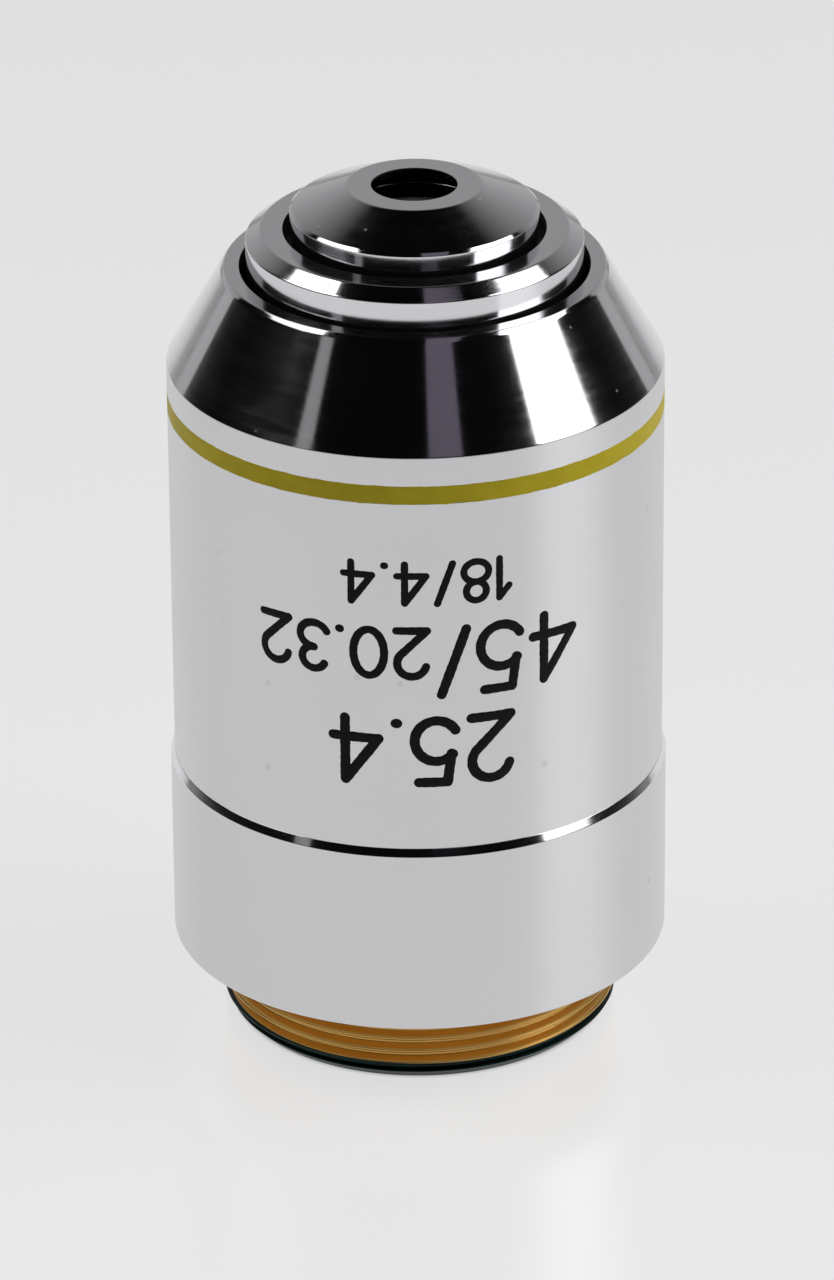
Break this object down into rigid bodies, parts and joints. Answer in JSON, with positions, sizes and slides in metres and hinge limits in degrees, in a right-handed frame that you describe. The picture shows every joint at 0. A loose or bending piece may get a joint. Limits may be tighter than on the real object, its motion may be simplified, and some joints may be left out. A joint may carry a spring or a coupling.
{
  "type": "microscope objective",
  "caption": "Upright microscope objective: satin chrome barrel with a polished cone, stepped nose with a small lens opening, mustard ring and brass mounting thread.",
  "frame": {"origin": "on the optical axis, in the plane of the thread's end face, on which the objective stands", "axes": "+Z along the optical axis, from the thread towards the specimen; +X and +Y across it"},
  "size_m": [0.0254, 0.0254, 0.045],
  "materials": {
    "satin_chrome": "satin",
    "bright_chrome": "polished",
    "brass": "turned",
    "lock_brass": "turned",
    "band_paint": "enamel",
    "front_glass": "coated",
    "lens_glass": "polished",
    "rear_glass": "coated",
    "black_metal": "black anodised",
    "screw_steel": "blackened"
  },
  "bodies": {
    "root": {"body_tube": "brass", "rear_sleeve": "satin_chrome", "front_sleeve": "satin_chrome", "colour_band": "band_paint", "lens_barrel": "bright_chrome", "lock_ring": "lock_brass", "lock_screws": "screw_steel", "front_cell": "bright_chrome", "front_lens": "front_glass", "front_spacer": "brass", "second_lens": "lens_glass", "front_group_ring": "black_metal", "first_doublet_cell": "black_metal", "first_doublet_crown": "lens_glass", "first_doublet_flint": "lens_glass", "first_spacer": "black_metal", "second_doublet_cell": "black_metal", "second_doublet_crown": "lens_glass", "second_doublet_flint": "lens_glass", "second_spacer": "black_metal", "rear_doublet_cell": "black_metal", "rear_doublet_front": "lens_glass", "rear_doublet_rear": "rear_glass", "aperture_stop": "black_metal", "stack_ring": "black_metal"}
  },
  "joints": []
}
